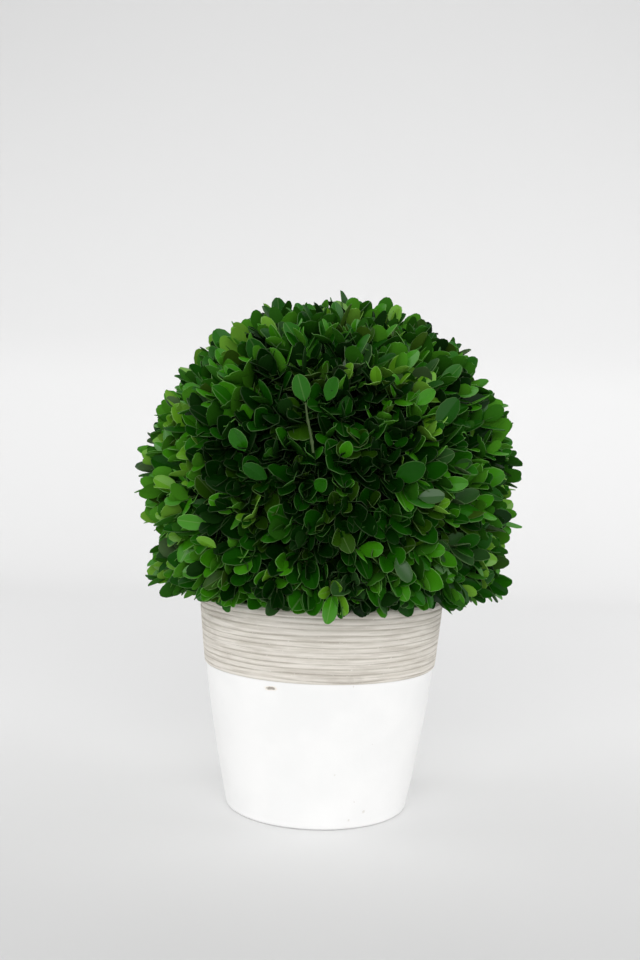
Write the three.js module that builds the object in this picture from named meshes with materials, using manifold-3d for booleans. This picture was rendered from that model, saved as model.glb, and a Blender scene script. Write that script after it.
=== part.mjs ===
// A box topiary ball: a clipped box shrub in a tapered ceramic pot with a combed band under its rim.
// Millimetres, +Z up. The origin is the centre of the pot's flat underside, and -Y is the front.

import * as THREE from 'three';
import { mergeVertices } from 'three/addons/utils/BufferGeometryUtils.js';
import Module from 'manifold-3d';

const wasm = await Module();
wasm.setup();

const CLEARANCE = 0.3; // between pieces that touch
const UP = new THREE.Vector3(0, 0, 1);

// The pot: a tapered ceramic vessel, hand thrown, so its flank bulges a little.
const POT_HEIGHT = 152;
const POT_FOOT_RADIUS = 64.2;
const POT_RIM_RADIUS = 86;
const POT_FLANK_BULGE = 10.6;
const POT_WALL = 7;
const POT_FLOOR = 9;
const POT_EDGE_ROUNDING = 3;
const POT_SIDES = 48;
const ROUND_MIDDLE = 1 - Math.SQRT1_2; // a quarter round's middle, from its corner, as a share of its radius

// The band: ribs combed round the pot, standing a little proud of the smooth flank below.
const BAND_HEIGHT = 50;
const BAND_PROUD = 1.1;
const RIB_COUNT = 8;
const RIB_DEPTH = 0.9;
const CREST_FOOT = 0.2; // share of a rib's height
const CREST_TOP = 0.75;

// The root ball fills the pot to a little below the rim.
const SOIL_DEPTH_BELOW_RIM = 6;
const SOIL_EDGE = 4; // the fall-off round its top
const SOIL_SIDES = 32;

// The stem: short and stout, with a flared foot, hidden by the foliage.
const STEM_FOOT_RADIUS = 11;
const STEM_RADIUS = 8;
const STEM_TIP_RADIUS = 6;
const STEM_FLARE_HEIGHT = 6;
const STEM_HEIGHT = 44;
const STEM_SIDES = 12;

// The crown: a ball clipped flat underneath, with a skirt of leaves that flares over the pot's rim.
const CROWN_CENTRE = new THREE.Vector3(3, 0, 228);
const CROWN_RADIUS = 135;
const SKIRT_FLARE = 0.065; // share of the radius
const SKIRT_START = THREE.MathUtils.degToRad(22); // below the horizon
const SKIRT_END = THREE.MathUtils.degToRad(30);
const CROWN_UNDERSIDE = 151;

// The core: the crown's dense inside, a smaller ball with a neck that stands in the pot's mouth.
const CORE_SHARE = 0.64; // of the crown's radius
const NECK_RADIUS = 73;
const NECK_FOOT = 147;
const NECK_EDGE = 5; // the bevel round its foot
const CORE_SIDES = 20;
const CORE_STEPS = 9;

// The sprigs: three-sided twigs with opposite pairs of leaves, each pair turned square to the last.
const BALL_SPRIG_COUNT = 54;
const LOWEST_BALL_SPRIG = THREE.MathUtils.degToRad(22); // below the horizon
const SKIRT_SPRIG_COUNT = 16;
const SKIRT_SPRIG_DROP = THREE.MathUtils.degToRad(32); // below the horizon
const SPRIG_ROOT_DEPTH = 8;
const SPRIG_WANDER = 0.14; // how far a sprig strays from straight out
const TWIG_FOOT_RADIUS = 2.4;
const TWIG_TIP_RADIUS = 1.3;
const PAIR_SPREADS = [68, 46, 22].map(THREE.MathUtils.degToRad); // from the twig's line, foot to tip
const PAIR_SPACING = 7;
const LEAF_LENGTH = 34;
const LEAF_WIDTH = 22;
const LEAF_THICKNESS = 1.3;
const LEAF_WIDEST = 0.58; // of its length, from its root
const LEAF_END_WIDTH = 0.48; // of its width
const SPRIG_SIZE_VARIATION = 0.22; // from sprig to sprig
const LEAF_SIZE_VARIATION = 0.08; // from leaf to leaf in a sprig
const LEAF_TURN_VARIATION = 0.25; // radians, round the twig
const LEAF_SPREAD_VARIATION = 0.15; // radians, from the twig's line
const LAST_PAIR_DEPTH = 1; // below the twig's tip
const LEAF_ROOT_OUT = 0.5; // from the twig's line, inside its thickness
const POT_GAP = 1.2; // the least space between a leaf and the pot
const CROWN_SEED = 2;

const materials = {
  ceramic: faceted(0xe9e7e1, 0.6),
  soil: faceted(0x2e2419, 0.95),
  bark: faceted(0x6d5f45, 0.85),
  leaf: faceted(0x1d5a17, 0.45),
};

function faceted(color, roughness) {
  return new THREE.MeshStandardMaterial({ color, roughness, metalness: 0, flatShading: true });
}

// Numbers from 0 to 1 by a linear congruence: the same stream for the same seed.
function seededRandom(seed) {
  let state = seed;
  return () => {
    state = (Math.imul(state, 1664525) + 1013904223) >>> 0;
    return state / 4294967296;
  };
}

function toSolid(geometry) {
  const bare = new THREE.BufferGeometry();
  bare.setAttribute('position', geometry.getAttribute('position'));
  bare.setIndex(geometry.getIndex());
  const merged = mergeVertices(bare, 1e-4);
  return new wasm.Manifold(
    new wasm.Mesh({
      numProp: 3,
      vertProperties: merged.getAttribute('position').array,
      triVerts: new Uint32Array(merged.getIndex().array),
    }),
  );
}

function toGeometry(solid) {
  const { vertProperties, triVerts } = solid.getMesh();
  const geometry = new THREE.BufferGeometry();
  geometry.setAttribute('position', new THREE.BufferAttribute(vertProperties, 3));
  geometry.setIndex(new THREE.BufferAttribute(triVerts, 1));
  return geometry;
}

// Turns a profile of [radius, height] pairs round the vertical axis.
function turned(profile, sides) {
  const points = profile.map(([radius, height]) => new THREE.Vector2(radius, height));
  return new THREE.LatheGeometry(points, sides).rotateX(Math.PI / 2);
}

function named(name, geometry, material) {
  const mesh = new THREE.Mesh(geometry, material);
  mesh.name = name;
  return mesh;
}

// The pot's smooth outer radius at a height.
function flankRadius(height) {
  const share = height / POT_HEIGHT;
  const taper = (POT_RIM_RADIUS - POT_FOOT_RADIUS) * share;
  return POT_FOOT_RADIUS + taper + POT_FLANK_BULGE * share * (1 - share);
}

function makePot() {
  const bandFoot = POT_HEIGHT - BAND_HEIGHT;
  const ribHeight = (BAND_HEIGHT - POT_EDGE_ROUNDING) / RIB_COUNT;
  const profile = [
    [0, 0],
    [POT_FOOT_RADIUS - POT_EDGE_ROUNDING, 0],
    [flankRadius(0) - POT_EDGE_ROUNDING * ROUND_MIDDLE, POT_EDGE_ROUNDING * ROUND_MIDDLE],
    [flankRadius(POT_EDGE_ROUNDING), POT_EDGE_ROUNDING],
    [flankRadius(bandFoot / 3), bandFoot / 3],
    [flankRadius((bandFoot * 2) / 3), (bandFoot * 2) / 3],
    [flankRadius(bandFoot), bandFoot],
  ];
  for (let rib = 0; rib < RIB_COUNT; rib++) {
    const foot = bandFoot + rib * ribHeight;
    const crestLow = foot + ribHeight * CREST_FOOT;
    const crestHigh = foot + ribHeight * CREST_TOP;
    profile.push([flankRadius(crestLow) + BAND_PROUD, crestLow]);
    profile.push([flankRadius(crestHigh) + BAND_PROUD, crestHigh]);
    if (rib < RIB_COUNT - 1) {
      const groove = foot + ribHeight;
      profile.push([flankRadius(groove) + BAND_PROUD - RIB_DEPTH, groove]);
    }
  }
  const rimInside = POT_RIM_RADIUS - POT_WALL;
  const rimEdge = POT_EDGE_ROUNDING / 2;
  profile.push(
    [POT_RIM_RADIUS - rimEdge, POT_HEIGHT],
    [rimInside + rimEdge, POT_HEIGHT],
    [rimInside, POT_HEIGHT - rimEdge],
    [flankRadius(POT_HEIGHT / 2) - POT_WALL, POT_HEIGHT / 2],
    [flankRadius(POT_FLOOR) - POT_WALL, POT_FLOOR],
    [0, POT_FLOOR],
  );
  return turned(profile, POT_SIDES);
}

function makeRootBall() {
  const foot = POT_FLOOR + CLEARANCE;
  const top = POT_HEIGHT - SOIL_DEPTH_BELOW_RIM;
  // The pot's wall is faceted, so the fill also keeps clear of its flats.
  const inset = POT_WALL + CLEARANCE + POT_RIM_RADIUS * (1 - Math.cos(Math.PI / POT_SIDES));
  return turned(
    [
      [0, foot],
      [flankRadius(foot) - inset, foot],
      [flankRadius(POT_HEIGHT / 2) - inset, POT_HEIGHT / 2],
      [flankRadius(top - SOIL_EDGE / 2) - inset, top - SOIL_EDGE / 2],
      [flankRadius(top) - inset - SOIL_EDGE, top],
      [0, top],
    ],
    SOIL_SIDES,
  );
}

// The stem stands on the root ball and leans towards the crown's centre. A margin makes it fatter and taller.
function makeStem(margin) {
  const foot = POT_HEIGHT - SOIL_DEPTH_BELOW_RIM + CLEARANCE;
  const lean = CROWN_CENTRE.x / (CROWN_CENTRE.z - foot);
  return turned(
    [
      [0, 0],
      [STEM_FOOT_RADIUS + margin, 0],
      [STEM_RADIUS + margin, STEM_FLARE_HEIGHT],
      [STEM_TIP_RADIUS + margin, STEM_HEIGHT + margin],
      [0, STEM_HEIGHT + margin],
    ],
    STEM_SIDES,
  )
    .applyMatrix4(new THREE.Matrix4().makeShear(0, 0, 0, 0, lean, 0))
    .translate(0, 0, foot);
}

// The distance from the crown's centre to its clipped outline, at an angle above the horizon.
function crownReach(rise) {
  const skirt = THREE.MathUtils.smoothstep(-rise, SKIRT_START, SKIRT_END);
  const ball = CROWN_RADIUS * (1 + SKIRT_FLARE * skirt);
  return rise < 0 ? Math.min(ball, (CROWN_CENTRE.z - CROWN_UNDERSIDE) / Math.sin(-rise)) : ball;
}

// The distance from the crown's centre to its core's surface, at an angle above the horizon.
function coreReach(rise) {
  const ball = CORE_SHARE * CROWN_RADIUS;
  return rise < 0 ? Math.max(ball, NECK_RADIUS / Math.cos(rise)) : ball;
}

function makeCore() {
  const neckTop = -Math.acos(NECK_RADIUS / (CORE_SHARE * CROWN_RADIUS));
  const drop = CROWN_CENTRE.z - NECK_FOOT;
  const profile = [
    [0, -drop],
    [NECK_RADIUS - NECK_EDGE, -drop],
    [NECK_RADIUS, NECK_EDGE - drop],
  ];
  for (let step = 0; step <= CORE_STEPS; step++) {
    const rise = neckTop + ((Math.PI / 2 - neckTop) * step) / CORE_STEPS;
    const radius = step === CORE_STEPS ? 0 : coreReach(rise) * Math.cos(rise);
    profile.push([radius, coreReach(rise) * Math.sin(rise)]);
  }
  return toSolid(turned(profile, CORE_SIDES).translate(...CROWN_CENTRE.toArray()));
}

// A blunt leaf of eight faces, widest past its middle. It lies along +Y with its upper side to +Z.
function leafShape(length, width, thickness) {
  const outline = [
    [0, 0],
    [width / 2, length * LEAF_WIDEST],
    [(width / 2) * LEAF_END_WIDTH, length],
    [(-width / 2) * LEAF_END_WIDTH, length],
    [-width / 2, length * LEAF_WIDEST],
  ];
  const corners = [...outline.map(([x, y]) => [x, y, 0]), [0, length * LEAF_WIDEST, thickness]];
  const geometry = new THREE.BufferGeometry();
  geometry.setAttribute('position', new THREE.Float32BufferAttribute(corners.flat(), 3));
  const upper = outline.flatMap((_, i) => [i, (i + 1) % outline.length, outline.length]);
  const under = [0, 4, 1, 1, 4, 2, 2, 4, 3];
  geometry.setIndex([...upper, ...under]);
  return geometry;
}

// True where a point lies in the pot, or nearer to it than a leaf may come.
function nearPot(point) {
  const reach = POT_RIM_RADIUS + BAND_PROUD + POT_GAP;
  return point.z < POT_HEIGHT + POT_GAP && Math.hypot(point.x, point.y) < reach;
}

// Tests a twig or leaf at its corners and half way between each two of them.
function clearOfPot(geometry) {
  const position = geometry.getAttribute('position');
  const corners = [];
  for (let i = 0; i < position.count; i++) {
    corners.push(new THREE.Vector3().fromBufferAttribute(position, i));
  }
  return !corners.some((a) => corners.some((b) => nearPot(a.clone().lerp(b, 0.5))));
}

// One sprig: a twig out of the core, with pairs of leaves up to the crown's outline.
function makeSprig(direction, random) {
  const either = (range) => (random() * 2 - 1) * range;
  const rise = Math.asin(direction.z);
  const root = direction.clone().multiplyScalar(coreReach(rise) - SPRIG_ROOT_DEPTH).add(CROWN_CENTRE);
  const stray = new THREE.Vector3(either(SPRIG_WANDER), either(SPRIG_WANDER), either(SPRIG_WANDER));
  const axis = direction.clone().add(stray).normalize();
  const size = 1 + either(SPRIG_SIZE_VARIATION);
  const tip = direction.clone().multiplyScalar(crownReach(rise)).add(CROWN_CENTRE);
  const lastPair = PAIR_SPREADS.length - 1;
  const twigLength = tip.sub(root).dot(axis) - LEAF_LENGTH * size * Math.cos(PAIR_SPREADS[lastPair]);
  const upright = new THREE.Quaternion().setFromUnitVectors(UP, axis);
  const place = new THREE.Matrix4().compose(root, upright, new THREE.Vector3(1, 1, 1));

  const twig = new THREE.CylinderGeometry(TWIG_TIP_RADIUS, TWIG_FOOT_RADIUS, twigLength, 3);
  const pieces = [twig.rotateX(Math.PI / 2).translate(0, 0, twigLength / 2)];
  const turn = random() * Math.PI;
  PAIR_SPREADS.forEach((spread, pair) => {
    const height = twigLength - LAST_PAIR_DEPTH - (lastPair - pair) * PAIR_SPACING;
    for (const side of [0, Math.PI]) {
      const angle = turn + side + (pair * Math.PI) / 2 + either(LEAF_TURN_VARIATION);
      const opening = spread + either(LEAF_SPREAD_VARIATION);
      const length = LEAF_LENGTH * size * (1 + either(LEAF_SIZE_VARIATION));
      const leaf = leafShape(length, LEAF_WIDTH * size, LEAF_THICKNESS).translate(0, LEAF_ROOT_OUT, 0);
      pieces.push(leaf.rotateX(Math.PI / 2 - opening).rotateZ(angle).translate(0, 0, height));
    }
  });
  return pieces.map((piece) => piece.applyMatrix4(place)).filter(clearOfPot);
}

// The way each sprig points: evenly over the ball, then in a ring round the skirt.
function sprigDirections() {
  const goldenAngle = Math.PI * (3 - Math.sqrt(5));
  const directions = [];
  for (let i = 0; i < BALL_SPRIG_COUNT; i++) {
    const rise = Math.asin(1 - ((i + 0.5) / BALL_SPRIG_COUNT) * (1 + Math.sin(LOWEST_BALL_SPRIG)));
    directions.push(new THREE.Vector3(Math.cos(rise), 0, Math.sin(rise)).applyAxisAngle(UP, i * goldenAngle));
  }
  const skirt = new THREE.Vector3(Math.cos(SKIRT_SPRIG_DROP), 0, -Math.sin(SKIRT_SPRIG_DROP));
  for (let i = 0; i < SKIRT_SPRIG_COUNT; i++) {
    directions.push(skirt.clone().applyAxisAngle(UP, (i * 2 * Math.PI) / SKIRT_SPRIG_COUNT));
  }
  return directions;
}

// The whole clipped crown: its core, cut clear of the stem, with sprigs set evenly all round it.
function makeCrown() {
  const random = seededRandom(CROWN_SEED);
  const sprigs = sprigDirections().flatMap((direction) => makeSprig(direction, random));
  const crown = sprigs.map(toSolid).reduce((whole, piece) => whole.add(piece), makeCore());
  return toGeometry(crown.subtract(toSolid(makeStem(CLEARANCE))));
}

const topiary = new THREE.Group();
topiary.add(named('pot', makePot(), materials.ceramic));
topiary.add(named('root_ball', makeRootBall(), materials.soil));
topiary.add(named('stem', makeStem(0), materials.bark));
topiary.add(named('foliage_ball', makeCrown(), materials.leaf));

export default topiary;
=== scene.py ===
# A box shrub clipped to a ball, in a ceramic pot with a combed band.
# Metres, +Z up. The origin is the centre of the pot's flat underside, and -Y is the front.

import math
from collections import namedtuple

import bpy
from mathutils import Matrix, Vector


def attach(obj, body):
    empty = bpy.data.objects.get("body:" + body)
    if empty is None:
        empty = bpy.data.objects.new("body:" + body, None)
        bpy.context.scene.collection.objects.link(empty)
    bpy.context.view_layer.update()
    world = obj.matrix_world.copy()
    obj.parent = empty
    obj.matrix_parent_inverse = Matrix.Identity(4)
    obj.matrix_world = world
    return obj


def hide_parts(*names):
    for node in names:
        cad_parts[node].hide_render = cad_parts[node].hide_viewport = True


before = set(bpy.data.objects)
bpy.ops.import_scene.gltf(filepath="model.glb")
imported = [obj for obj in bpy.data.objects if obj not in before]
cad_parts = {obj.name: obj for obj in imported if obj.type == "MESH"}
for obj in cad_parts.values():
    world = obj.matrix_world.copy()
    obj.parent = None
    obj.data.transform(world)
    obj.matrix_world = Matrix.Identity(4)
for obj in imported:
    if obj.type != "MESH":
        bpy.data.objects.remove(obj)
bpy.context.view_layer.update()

scene = bpy.context.scene
scene.view_settings.view_transform = "Standard"

MM = 0.001
UP = Vector((0, 0, 1))
BODY = "root"

# The pot, as the frame has it.
POT_HEIGHT = 152 * MM
POT_FOOT_RADIUS = 64.2 * MM
POT_RIM_RADIUS = 86 * MM
POT_FLANK_BULGE = 10.6 * MM
POT_WALL = 7 * MM
POT_FLOOR = 9 * MM
FOOT_ROUNDING = 2.4 * MM
LIP_ROUNDING = 2.2 * MM
BAND_FOOT = 102 * MM
BAND_PROUD = 1.1 * MM
BAND_TOP_PROUD = 0.4 * MM
BAND_LUMPS = 0.5 * MM
FLANK_WOBBLE = 0.7 * MM
POT_SIDES = 400
WELD_DISTANCE = 1e-6

# The clay's combed relief.
COMBS = (
    # pitch, half a groove's width as a share of it, the noise at which it starts to show, depth
    (3.8 * MM, 0.2, 0.2, 0.75 * MM),
    (2.6 * MM, 0.24, 0.38, 0.45 * MM),
)
COMB_WANDER = 0.8 * MM
COMB_UNEVENNESS = 2.2 * MM
COMB_OFFSET = 0.4
COMB_FADE = 0.36

# The chip out of the glaze, just below the band at the front left.
CHIP_ANGLE = math.radians(-113.4)
CHIP_HEIGHT = 97.4 * MM
CHIP_HALF_WIDTH = 3.6 * MM
CHIP_HALF_HEIGHT = 1.2 * MM
CHIP_DEPTH = 0.5 * MM
CHIP_SLANT = 0.25
CHIP_RAGGEDNESS = 0.9

# Small brown specks in the glaze: (angle from the right, height, radius).
SPECKS = (
    (math.radians(-61), 60 * MM, 0.5 * MM),
    (math.radians(-80.5), 40 * MM, 0.6 * MM),
    (math.radians(-68), 20 * MM, 0.6 * MM),
    (math.radians(-61), 12 * MM, 1.3 * MM),
    (math.radians(-70), 7 * MM, 1.0 * MM),
    (math.radians(-74), 101 * MM, 0.7 * MM),
)
SPECK_STRENGTH = 0.35
SPECK_COLOUR = (0.5, 0.46, 0.38, 1)

# The potting mix and the short stem.
SOIL_TOP = 146 * MM
SOIL_INSET = 8.2 * MM
STEM_FOOT_RADIUS = 11 * MM
STEM_RADIUS = 8 * MM
STEM_TIP_RADIUS = 6 * MM
STEM_FLARE_HEIGHT = 6 * MM
STEM_HEIGHT = 44 * MM
STEM_SEAT = 0.3 * MM

# The crown's outline and core: the same rule as the solids follow.
CROWN_CENTRE = Vector((3, 0, 228)) * MM
CROWN_RADIUS = 135 * MM
SKIRT_FLARE = 0.065
SKIRT_START = math.radians(22)
SKIRT_END = math.radians(30)
CROWN_UNDERSIDE = 151 * MM
CORE_SHARE = 0.64
NECK_RADIUS = 73 * MM
NECK_FOOT = 147 * MM
POT_GAP = 1.2 * MM
HEART_INSET = 3 * MM
CROWN_SEED = 2

# The main sprigs, one for each of the solid crown's, by the same rule and the same draws.
MAIN_BALL_COUNT = 54
MAIN_BALL_LOWEST = math.radians(22)
MAIN_SKIRT_COUNT = 16
MAIN_SKIRT_DROP = math.radians(32)
MAIN_ROOT_DEPTH = 8 * MM
MAIN_WANDER = 0.14
MAIN_SIZE_VARIATION = 0.22
MAIN_LEAF_LENGTH = 34 * MM
MAIN_LEAF_SPREAD = math.radians(22)
MAIN_LEAF_DRAWS = 3 * 2 * 3  # pairs, leaves in a pair, draws for a leaf
MAIN_TIP_RADIUS = 1.2 * MM

# The finer sprigs that fork from them: many more, each with more pairs of smaller leaves.
SPRIG_SPACING = 18.4 * MM
LOWEST_BALL_SPRIG = math.radians(23)
SKIRT_RINGS = [math.radians(angle) for angle in (25.5, 29, 32.5, 36, 39.5)]
SPRIG_UNDERSIDE = 153.5 * MM
LOWEST_LEAF = 149 * MM
SPRIG_WANDER = 0.25
SPRIG_SHORTFALL = 13 * MM
SHORTFALL_POWER = 1.6
SPRIG_EXCESS = 0.5 * MM
LEAF_LENGTH = 20.5 * MM
LEAF_WIDTH = 12 * MM
SPRIG_SIZE_VARIATION = 0.16
SPRIG_OPENING_VARIATION = 0.3
LEAF_SIZE_VARIATION = 0.26
LEAF_WIDTH_VARIATION = 0.12
PAIR_SPACING = 6 * MM
PAIR_SPREADS = [math.radians(angle) for angle in (52, 45, 38, 30, 20)]
PAIR_SIZES = (0.95, 1.02, 1.04, 0.98, 0.8)
PAIR_AGES = (0, 0, 1, 1, 2)  # the age of the spray that each pair is on, 0 the oldest
SPRAY_AGES = range(3)
LEAF_TURN_VARIATION = 0.6
LEAF_SPREAD_VARIATION = 0.24
LEAF_ROLL_VARIATION = 0.4
LEAF_LIFT = 0.45
LEAST_LIFT = 0.1
TWIG_FOOT_RADIUS = 1.0 * MM
TWIG_TIP_RADIUS = 0.5 * MM
TWIG_NODE_SWELL = 1.35
TWIG_NODE_HALF_LENGTH = 0.9 * MM
TWIG_BARE_LENGTH = 6 * MM
BOUGH_FOOT_RADIUS = 4 * MM
BOUGH_TIP_RADIUS = 1.8 * MM
BOUGH_BOW = 0.15
BOUGH_RISE = 0.18


# ---------------------------------------------------------------- node trees


class Value:
    """A socket that takes part in Python sums. Each sum adds its Math node."""

    def __init__(self, nodes, socket):
        self.nodes = nodes
        self.socket = socket

    def math(self, operation, *others):
        return self.nodes.add("ShaderNodeMath", {"operation": operation}, [self, *others])

    def __add__(self, other):
        return self.math("ADD", other)

    __radd__ = __add__

    def __mul__(self, other):
        return self.math("MULTIPLY", other)

    def __sub__(self, other):
        return self.math("SUBTRACT", other)

    def __rsub__(self, other):
        return self.nodes.add("ShaderNodeMath", {"operation": "SUBTRACT"}, [other, self])

    def __truediv__(self, other):
        return self.math("DIVIDE", other)

    def __pow__(self, other):
        return self.math("POWER", other)

    def __gt__(self, other):
        return self.math("GREATER_THAN", other)

    def __lt__(self, other):
        return self.math("LESS_THAN", other)

    def smooth(self, low, high):
        """0 below low, 1 above high, and a smooth step between."""
        inputs = {"Value": self, "From Min": low, "From Max": high}
        return self.nodes.add("ShaderNodeMapRange", {"interpolation_type": "SMOOTHSTEP"}, inputs)


class Nodes:
    """A node tree that nodes are added to in the order in which a maker works."""

    def __init__(self, tree):
        self.tree = tree

    def join(self, value, socket):
        if isinstance(value, Value):
            self.tree.links.new(value.socket, socket)
        else:
            socket.default_value = value

    def add(self, kind, settings=None, inputs=(), output=0):
        node = self.tree.nodes.new(kind)
        for name, value in (settings or {}).items():
            setattr(node, name, value)
        for key, value in inputs.items() if isinstance(inputs, dict) else enumerate(inputs):
            self.join(value, node.inputs[key])
        return Value(self, node.outputs[output])

    def parts(self, vector):
        x = self.add("ShaderNodeSeparateXYZ", inputs=[vector])
        return x, Value(self, x.socket.node.outputs[1]), Value(self, x.socket.node.outputs[2])

    def vector(self, x, y, z):
        return self.add("ShaderNodeCombineXYZ", inputs=[x, y, z])

    def scaled(self, vector, factor):
        return self.add("ShaderNodeVectorMath", {"operation": "SCALE"}, {0: vector, "Scale": factor})

    def distance(self, first, second):
        return self.add("ShaderNodeVectorMath", {"operation": "DISTANCE"}, [first, second], output=1)

    def noise(self, place, scale, detail=2.0, roughness=0.5):
        """Smooth noise about a half, with its scale in swirls to the metre."""
        inputs = {"Vector": place, "Scale": scale, "Detail": detail, "Roughness": roughness}
        return self.add("ShaderNodeTexNoise", inputs=inputs)

    def mixed(self, factor, first, second):
        """A colour between two colours."""
        return self.add("ShaderNodeMix", {"data_type": "RGBA"}, {0: factor, 6: first, 7: second}, output=2)


SOCKETS = {
    float: "NodeSocketFloat",
    int: "NodeSocketInt",
    bpy.types.Material: "NodeSocketMaterial",
    bpy.types.Collection: "NodeSocketCollection",
}


class Shape(Nodes):
    """A Geometry Nodes tree with named sizes, which grows a plain mesh from a source mesh."""

    def __init__(self, name, **kinds):
        super().__init__(bpy.data.node_groups.new(name, "GeometryNodeTree"))
        face = self.tree.interface
        face.new_socket("Geometry", in_out="INPUT", socket_type="NodeSocketGeometry")
        for key, kind in kinds.items():
            face.new_socket(key, in_out="INPUT", socket_type=SOCKETS[kind])
        face.new_socket("Geometry", in_out="OUTPUT", socket_type="NodeSocketGeometry")
        self.entry = self.tree.nodes.new("NodeGroupInput")
        self.geometry = Value(self, self.entry.outputs[0])

    def size(self, key):
        return Value(self, self.entry.outputs[key])

    def named(self, name, data_type):
        """An attribute of the mesh."""
        return self.add("GeometryNodeInputNamedAttribute", {"data_type": data_type}, {"Name": name})

    def step(self, kind, settings=None, **inputs):
        """Passes the geometry through one node."""
        named = {key.replace("_", " "): value for key, value in inputs.items()}
        node = self.add(kind, settings, named).socket.node
        source = next(socket for socket in node.inputs if socket.type == "GEOMETRY")
        self.tree.links.new(self.geometry.socket, source)
        self.geometry = Value(self, node.outputs[0])

    def close(self):
        exit_node = self.tree.nodes.new("NodeGroupOutput")
        self.tree.links.new(self.geometry.socket, exit_node.inputs[0])
        return self

    def grow(self, name, source, **sizes):
        raw = bpy.data.objects.new(name + "_raw", source)
        scene.collection.objects.link(raw)
        modifier = raw.modifiers.new("shape", "NODES")
        modifier.node_group = self.tree
        for item in self.tree.interface.items_tree:
            if item.in_out == "INPUT" and item.name in sizes:
                modifier[item.identifier] = sizes[item.name]
        depsgraph = bpy.context.evaluated_depsgraph_get()
        mesh = bpy.data.meshes.new_from_object(raw.evaluated_get(depsgraph), depsgraph=depsgraph)
        mesh.name = name
        bpy.data.objects.remove(raw)
        piece = bpy.data.objects.new(name, mesh)
        scene.collection.objects.link(piece)
        return piece


def line_mesh(name, points, edges=None, **attributes):
    """A mesh of points joined in a row, or by the given edges, with float or vector attributes."""
    if edges is None:
        edges = [(i, i + 1) for i in range(len(points) - 1)]
    mesh = bpy.data.meshes.new(name)
    mesh.from_pydata(points, edges, [])
    for key, values in attributes.items():
        if isinstance(values[0], (float, int)):
            layer = mesh.attributes.new(key, "FLOAT", "POINT")
            layer.data.foreach_set("value", values)
        else:
            layer = mesh.attributes.new(key, "FLOAT_VECTOR", "POINT")
            layer.data.foreach_set("vector", [part for value in values for part in value])
    return mesh


def face_outwards(piece):
    """Turns a closed mesh's faces out if they point in."""
    mesh = piece.data
    mesh.calc_loop_triangles()
    volume = 0.0
    for triangle in mesh.loop_triangles:
        a, b, c = (mesh.vertices[i].co for i in triangle.vertices)
        volume += a.dot(b.cross(c))
    if volume < 0:
        mesh.flip_normals()


def finish_piece(piece, slot, *nodes):
    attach(piece, BODY)
    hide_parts(*nodes)


# ---------------------------------------------------------------- finishes


def plain_finish(name, colour, roughness=0.5, gloss=0.25):
    """A finish that is the same all over, for small things that are joined by the thousand."""
    material = bpy.data.materials.new(name)
    material.use_nodes = True
    shader = material.node_tree.nodes["Principled BSDF"]
    shader.inputs["Base Color"].default_value = (*colour, 1)
    shader.inputs["Roughness"].default_value = roughness
    shader.inputs["Specular IOR Level"].default_value = gloss
    return material


class Finish(Nodes):
    """A material whose colour, roughness and relief vary over Object coordinates."""

    def __init__(self, name):
        self.material = bpy.data.materials.new(name)
        self.material.use_nodes = True
        super().__init__(self.material.node_tree)
        self.shader = self.tree.nodes["Principled BSDF"]
        coordinates = self.tree.nodes.new("ShaderNodeTexCoord")
        self.place = Value(self, coordinates.outputs["Object"])

    def set(self, **inputs):
        for key, value in inputs.items():
            self.join(value, self.shader.inputs[key.replace("_", " ")])

    def bump(self, height, strength, distance):
        inputs = {"Height": height, "Strength": strength, "Distance": distance}
        self.join(self.add("ShaderNodeBump", inputs=inputs), self.shader.inputs["Normal"])


def comb_depth(nodes, place):
    """How deep the two combs have cut at a place. Their grooves wander, fade and cross round the pot."""
    x, y, z = nodes.parts(place)
    wander = (nodes.noise(nodes.vector(x, y, z * 0.8), 13.0, 2.0) - 0.5) * 2 * COMB_WANDER
    uneven = (nodes.noise(nodes.vector(x * 0.08, y * 0.08, z), 120.0, 1.0) - 0.5) * 2 * COMB_UNEVENNESS
    deepest = None
    for number, (pitch, width, start, depth) in enumerate(COMBS):
        phase = ((z + wander + uneven) / pitch + number * COMB_OFFSET).math("FRACT")
        row = nodes.vector(x, y, z * 7 + number)
        strength = nodes.noise(row, 17.0, 3.0, 0.6).smooth(start, start + COMB_FADE)
        cut = (1 - (phase - 0.5).math("ABSOLUTE") / width).math("MAXIMUM", 0.0) * strength * depth
        deepest = cut if deepest is None else deepest.math("MAXIMUM", cut)
    return deepest


def chip_mask(nodes, place):
    """0 at the chip's middle and 1 at its ragged edge, growing outwards. The pot's far side has none."""
    x, y, z = nodes.parts(place)
    across = (x * -math.sin(CHIP_ANGLE) + y * math.cos(CHIP_ANGLE)) / CHIP_HALF_WIDTH
    along = (z - CHIP_HEIGHT) / CHIP_HALF_HEIGHT - across * CHIP_SLANT
    ragged = (nodes.noise(place, 900.0, 2.0) - 0.5) * CHIP_RAGGEDNESS
    distance = (across.math("ABSOLUTE") ** 3 + along.math("ABSOLUTE") ** 3) ** (1 / 3) + ragged
    facing = (x * math.cos(CHIP_ANGLE) + y * math.sin(CHIP_ANGLE)) > flank_radius(CHIP_HEIGHT) / 2
    return distance + (1 - facing) * 100


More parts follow.
